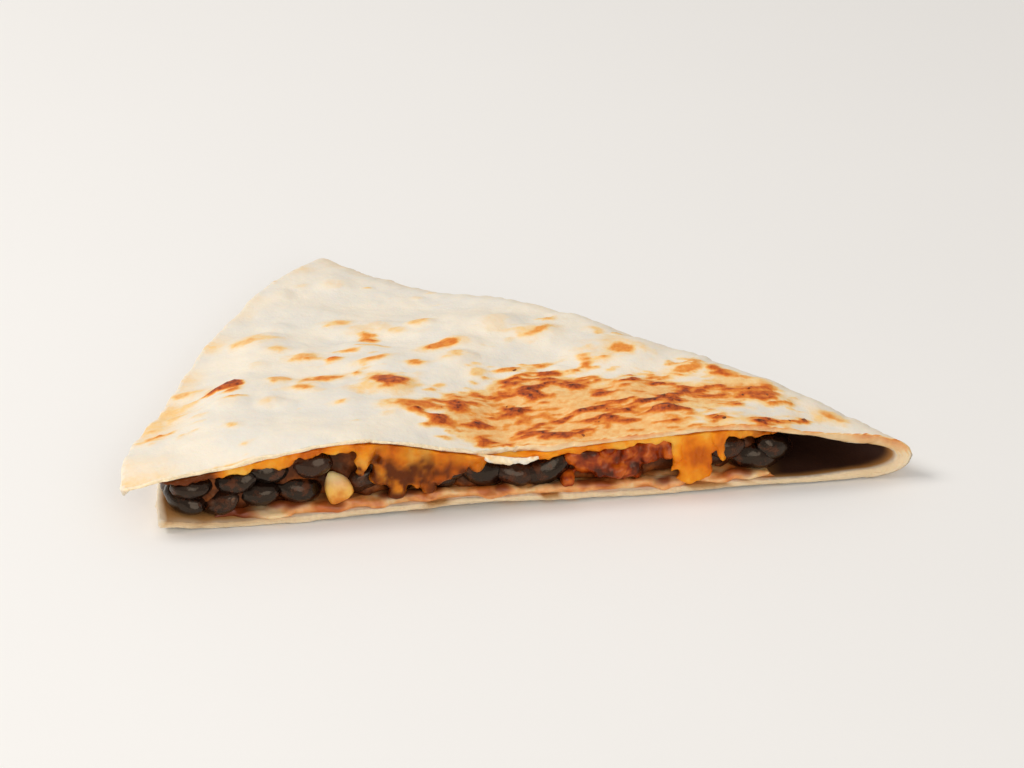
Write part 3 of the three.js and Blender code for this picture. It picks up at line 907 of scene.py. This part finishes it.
def packed_beans(seed):
    """Beans that have been shaken until they no longer run into each other."""
    draw = np.random.default_rng(seed)
    count = FACE_BEANS + BURIED_BEANS
    first, last = BEAN_ENDS
    buried = draw.uniform(first + 1, last - 1, BURIED_BEANS)
    along = np.concatenate([np.linspace(first, last, FACE_BEANS), buried])
    sizes = BEAN_SIZE * draw.uniform(0.84, 1.08, (count, 1)) * draw.uniform(0.93, 1.07, (count, 3))
    spins = draw.uniform(-1, 1, (count, 3)) * (0.9, 0.5, 1.0)
    turns = np.array([Euler(spin).to_matrix() for spin in spins])
    nearest = reach_towards(np.broadcast_to((0.0, 1.0, 0.0), (count, 3)), turns, sizes) + BEHIND_CUT
    at_face = nearest + draw.uniform(0, 1.2, count)
    back = np.where(np.arange(count) < FACE_BEANS, at_face, draw.uniform(6, BEANS_DEEP, count))
    low, high = bean_floor(-along, back), bean_ceiling(-along, back)
    middle = spots(-along, back, mix(low, high, draw.uniform(0, 1, count)))
    x, y, z = middle.T
    half_height = reach_towards(np.broadcast_to((0.0, 0.0, 1.0), middle.shape), turns, sizes)
    for _ in range(SHAKES):
        apart = middle[:, None] - middle[None]
        distance = np.linalg.norm(apart, axis=-1)
        for i in range(count):
            direction = apart[i] / np.maximum(distance[i], 0.01)[:, None] + (0.0, 0.0, 1e-6)
            own = np.broadcast_to(turns[i], turns.shape), np.broadcast_to(sizes[i], sizes.shape)
            touching = reach_towards(direction, turns, sizes) + reach_towards(direction, *own)
            overlap = np.maximum(0.95 * touching - distance[i], 0)
            overlap[i] = 0
            middle[i] += 0.3 * (direction * overlap[:, None]).sum(0) * (1, 0.8, 0.7)
        x[:] = np.clip(x, -last, -first)
        behind_cheese = sum((start < -x) & (-x < end) for start, end in CURTAINS)
        y[:] = np.clip(y, nearest + 1.3 * behind_cheese, BEANS_DEEP)
        low = bean_floor(x, y) - 0.9 + half_height - 1.2 * ease(-x, 122, 130)
        high = bean_ceiling(x, y) + 1.2 - half_height
        z[:] = np.where(low < high, np.clip(z, low, high), (low + high) / 2)
    return middle, sizes, turns


def bean(middle, size, turn, seed, split):
    """A bean, bent a little, dented at its eye, with wrinkled skin; and where it shows its flesh."""
    unit, faces = ball(around=30, rings=22)
    x, y, z = unit.T
    bent = spots(x, y * (1 - 0.1 * x * x), z + 0.16 * (x * x - 0.4))
    bent[:, 2] -= 0.13 * np.exp(-((x / 0.2) ** 2 + (y / 0.16) ** 2)) * (z > 0)
    dented = 0.05 * noise(unit + seed * 2.3, 1.1, 1)
    wrinkles = 0.034 * noise(unit * (0.6, 1.7, 1.7) + seed * 3.1, 0.42)
    puckered = -0.03 * np.abs(noise(unit * (0.5, 1.4, 1.4) + seed, 0.3, 1)) * (noise(unit + seed, 1.3, 1) > 0)
    bent *= (1 + dented + wrinkles + puckered)[:, None]
    at = (bent * size / 2) @ turn.T + middle
    flesh = ease(noise(unit * (0.4, 1, 1) + seed * 1.7, 0.6), 0.6, 0.72) * split
    at -= (at - middle) * 0.06 * flesh[:, None]
    return at, faces, flesh


draw = np.random.default_rng(6)
beans, flesh, tints = [], [], []
for i, (middle, size, turn) in enumerate(zip(*packed_beans(5))):
    split = draw.uniform() < SPLIT_SHARE or (middle[0] < -130 and middle[2] < 7)
    points, faces, mask = bean(middle, size, turn, i, split)
    tint = draw.uniform()
    if not any(start < -middle[0] < end and middle[1] < deep for start, end, deep in BARE):
        beans.append((points, faces))
        flesh.append(mask)
        tints.append(np.full(len(points), tint))
bean_mesh = raw_mesh("black_beans", beans, merge=0)
store_mask(bean_mesh, "flesh", np.concatenate(flesh))
store_mask(bean_mesh, "tint", np.concatenate(tints))

bean_skin, tree, shader = new_material(
    "bean_skin", Coat_Weight=0.16, Coat_Roughness=0.09, Specular_IOR_Level=0.4, Specular_Tint=JUICY_GLOSS
)
flesh = stored(tree, "flesh")
clouds = cloud(tree, 240.0, 3.0)
drift = maths("MULTIPLY", maths("ADD", clouds, stored(tree, "tint")), 0.5)
skin_shade = ramped(drift, [(0.2, (12, 6, 4)), (0.5, (23, 11, 7)), (0.8, (50, 25, 15))])
flesh_shade = ramped(clouds, [(0.35, (58, 32, 24)), (0.5, (100, 66, 48)), (0.62, (140, 104, 80))])
# their sauce clings to them in dull red-brown films
film = ranged(cloud(tree, 330.0, 4.0, roughness=0.6), 0.55, 0.67, 0.0, 0.7)
sauced = covered(film, covered(flesh, skin_shade, flesh_shade), colour(94, 43, 15))
dull = maths("MAXIMUM", flesh, film)
tree.links.new(sauced, shader.inputs["Base Color"])
tree.links.new(ranged(dull, 0.0, 1.0, 0.17, 0.5), shader.inputs["Roughness"])
tree.links.new(bump(cloud(tree, 1500.0, 2.0), 0.25, 0.0003), shader.inputs["Normal"])
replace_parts(new_piece("black_beans", bean_mesh, bean_skin), "bean_filling")

plan = layer_plan(SAUCE, 60, 30)
x, y = plan[..., 0], plan[..., 1]
heap = slab(plan, bean_floor(x, y) - 0.6, bean_ceiling(x, y) + 0.6)
sauce_mesh = run_together("bean_sauce", [heap], voxel=0.6, softening=2, relief=[(0.9, 4.5), (0.35, 1.8)])
sauce_look = wet_material(
    "bean_sauce", 300.0, [(0, (44, 18, 5)), (0.6, (84, 37, 11)), (1, (128, 66, 24))], 0.7,
    Roughness=0.36, Specular_IOR_Level=0.28, Specular_Tint=JUICY_GLOSS,
)
new_piece("bean_sauce", sauce_mesh, sauce_look)

# ---- Salsa ----
# A spoonful of red pepper salsa in the middle of the beans: soft wet dice in a thick red sauce.
SALSA = {"start": 46.5, "end": 65, "depth": 24}
draw = np.random.default_rng(31)
salsa_at = (SALSA["start"] + SALSA["end"]) / 2
room_low, room_high = floor_top(-salsa_at, 1.0) + 1, ceiling(-salsa_at, 1.0) - 0.5
spoonful = (SALSA["end"] - SALSA["start"], SALSA["depth"], room_high - room_low)
solids = [ball((-salsa_at, SALSA["depth"] / 2 + 1.4, (room_low + room_high) / 2), spoonful)]
for along in np.arange(SALSA["start"] + 1, SALSA["end"], 1.15):
    for _ in range(2):
        x, y = -along + draw.uniform(-1, 1), draw.uniform(1.6, 3.2)
        z = draw.uniform(room_low + 1.2, room_high - 0.9)
        points, faces = ball()
        dice = np.sign(points) * np.abs(points) ** 0.6 * draw.uniform(1.1, 2.2, 3)
        solids.append((turned(dice, draw.uniform(-1.5, 1.5, 3)) + (x, y, z), faces))
salsa_mesh = run_together("pepper_salsa", solids, voxel=0.34, softening=1, relief=[(0.12, 1.3)])
kept_inside(salsa_mesh)
salsa_look = wet_material(
    "red_salsa", 330.0, [(0, (74, 20, 4)), (0.5, (150, 52, 8)), (1, (206, 100, 26))], 0.4,
    Roughness=0.25, Subsurface_Weight=0.15, Subsurface_Radius=(1.0, 0.25, 0.05), Subsurface_Scale=0.0015,
    Specular_IOR_Level=0.35, Specular_Tint=JUICY_GLOSS, Coat_Weight=0.14, Coat_Roughness=0.1,
)
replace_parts(new_piece("pepper_salsa", salsa_mesh, salsa_look), "salsa")

# ---- Corn ----
# One sweetcorn kernel, knife-trimmed from its cob: a plump wedge that stands among the beans on its
# dented crown, its pale tip up.
KERNEL_AT = (-109, 1.5, 6.3)
KERNEL_SIZE = np.array((6.2, 5.0, 6.4))
KERNEL_TURN = (0.25, math.pi - 0.38, 0.15)
points, faces = ball(around=36, rings=26)
x, y, z = points.T
to_crown = (1 + z) / 2
kernel = np.sign(points) * np.abs(points) ** mix(0.95, 0.7, to_crown)[:, None]
kernel[:, 0] *= mix(0.4, 1, to_crown**0.8)
kernel[:, 1] *= mix(0.45, 0.9, to_crown**0.8)
kernel[:, 2] -= 0.3 * np.exp(-((x / 0.5) ** 2 + (y / 0.4) ** 2)) * (z > 0)
kernel *= 1 + 0.07 * noise(points + 7.7, 0.8)[:, None]
kernel = turned(kernel * KERNEL_SIZE / 2, KERNEL_TURN) + KERNEL_AT
kernel_mesh = raw_mesh("sweetcorn", [(kernel, faces)], merge=0)
store_mask(kernel_mesh, "tip", ease(z + 0.25 * x, 0.25, -0.85))
corn_look = wet_material(
    "sweetcorn", 260.0, [(0, (184, 96, 6)), (0.5, (222, 134, 28)), (1, (244, 186, 84))], 0.3,
    stain=("tip", (248, 216, 152)),
    Roughness=0.28, Subsurface_Weight=0.3, Subsurface_Radius=(1.0, 0.6, 0.15), Subsurface_Scale=0.002,
    Specular_IOR_Level=0.4,
)
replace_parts(new_piece("sweetcorn", kernel_mesh, corn_look), "corn_kernel")

# ---- Melted cheese ----
# Orange cheese that melted under the upper leaf and glues it down. The knife dragged it over the beans:
# in a ragged curtain half way down, and nearer the apex in a few strands, one down to the lower leaf.
# A strand: where it leaves the leaf along the cut, where its foot is, its widths there, how far down.
STRANDS = [
    (37.4, 36.6, 3, 1.4, 0.6), (39.8, 39.4, 3, 2, 0.95), (42, 42.6, 3.6, 4.2, 1), (45, 45.8, 3, 1.5, 0.75),
    (83.5, 83, 4, 3, 0.26), (86.8, 86.4, 4.4, 3.4, 0.4), (90, 89.4, 4.6, 3.6, 0.6),
    (92.4, 92.2, 4.2, 2.2, 0.84), (95, 94.4, 4.6, 3.8, 0.7), (97.6, 98, 4.6, 3.2, 0.92),
    (100.4, 101.2, 4.4, 3, 0.66), (103.6, 104.6, 4, 2.4, 0.46),
]
# A sag: its place along the cut, how long it is, how far it hangs.
SAGS = [(110, 6, 1.5), (121, 9, 2.1), (131, 6, 1.3), (69, 6, 1.4), (83, 5, 2), (33, 6, 1.5), (57, 9, 1.4)]
STRAND_DEEP = 2.2
draw = np.random.default_rng(12)
plan = layer_plan(CHEESE, 70, 34)
x, y = plan[..., 0], plan[..., 1]
at_face = ease(y, 9, 1)
thick = mix(CHEESE["thick"], 1.0, at_face) * (1.05 + 0.4 * noise(spots(x, y, 40), 6))
solids = [slab(plan, ceiling(x, y) - thick - 0.5 * at_face, ceiling(x, y) + 0.25)]
for along in np.arange(CHEESE["start"] + 2, CHEESE["end_at_cut"] - 1, 1.9):
    size = (draw.uniform(3.5, 9), draw.uniform(1.6, 2.4), draw.uniform(0.8, 1.9))
    back = draw.uniform(0.9, 1.5)
    solids.append(ball((-along, back, ceiling(-along, back) - draw.uniform(0.3, 1.2)), size))
for along, length, drop in SAGS:
    solids.append(ball((-along, 1.0, ceiling(-along, 1.0) - 0.6 * drop), (length, STRAND_DEEP, drop * 1.5)))
for start, end, wide, narrow, down in STRANDS:
    high = ceiling(-start, 0.8) - 0.3
    low = mix(high, floor_top(-end, 0.8) + 1.2, down)
    back = draw.uniform(0.35, 1.2)
    for share in np.linspace(0, 1, max(int((high - low) / 0.7), 2)):
        width = mix(wide, narrow, share**0.7) * draw.uniform(0.8, 1.2) + 1.6 * (1 - share) ** 6
        # a strand that reaches the lower leaf spreads where it lands
        width *= 1 + 0.5 * (down == 1) * share**4
        x, y = -mix(start, end, share) + draw.uniform(-0.25, 0.25), back + draw.uniform(-0.15, 0.15)
        size = (width, min(width, STRAND_DEEP), 2.0)
        solids.append(ball((x, y, mix(high, low, share)), size, around=14, rings=10))
relief = [(0.12, 2.2), (0.05, 0.8)]
cheese_mesh = run_together("melted_cheese", solids, voxel=0.38, softening=2, relief=relief)
# it set in runs from top to bottom
points = mesh_points(cheese_mesh)
lift_points(cheese_mesh, 0.42 * noise(points * (1, 1, 0.3) + 2.2, 1.6) * ease(points[:, 1], 3, 0.5))
kept_inside(cheese_mesh)
# the layer is browner over the whole curtain, darker the further it hangs below the upper leaf from
# about 62 mm out from the apex on, and dark at both its ends
points = mesh_points(cheese_mesh)
along = -points[:, 0]
hanging = ceiling(-along, 0) - points[:, 2] + 1.5 * noise(points * (1, 1, 0.5), 2.6)
swirled = np.clip(0.8 + 0.6 * noise(points + 4.4, 1.5), 0.1, 1)
curtain = ease(along, 68, 80) * ease(along, 108, 101)
darkening = np.max([
    ease(hanging, 0.9, 5.4) * swirled * ease(along, 62, 84),
    (0.42 + 0.6 * ease(hanging, 0.6, 4.0)) * curtain * (0.35 + 0.65 * swirled),
    0.7 * swirled * ease(along, 37, 31),
    ease(along + 1.5 * noise(points, 2.4), 129, 134),
], axis=0)
store_mask(cheese_mesh, "soaked", np.clip(darkening, 0, 1))
cheese_shades = [(0, (202, 96, 5)), (0.35, (236, 129, 14)), (0.7, (249, 156, 31)), (1, (252, 184, 72))]
darker_shades = [(0.5, (160, 70, 6)), (1, (100, 40, 2))]
cheese_look = wet_material(
    "melted_cheese", 150.0, cheese_shades, 0.25, stain=("soaked", darker_shades), Roughness=0.3,
    Subsurface_Weight=0.2, Subsurface_Radius=(1.0, 0.4, 0.08), Subsurface_Scale=0.002,
    Specular_IOR_Level=0.25, Specular_Tint=(1.0, 0.78, 0.5, 1.0), Coat_Weight=0.06, Coat_Roughness=0.16,
)
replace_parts(new_piece("melted_cheese", cheese_mesh, cheese_look), "cheese")

low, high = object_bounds()
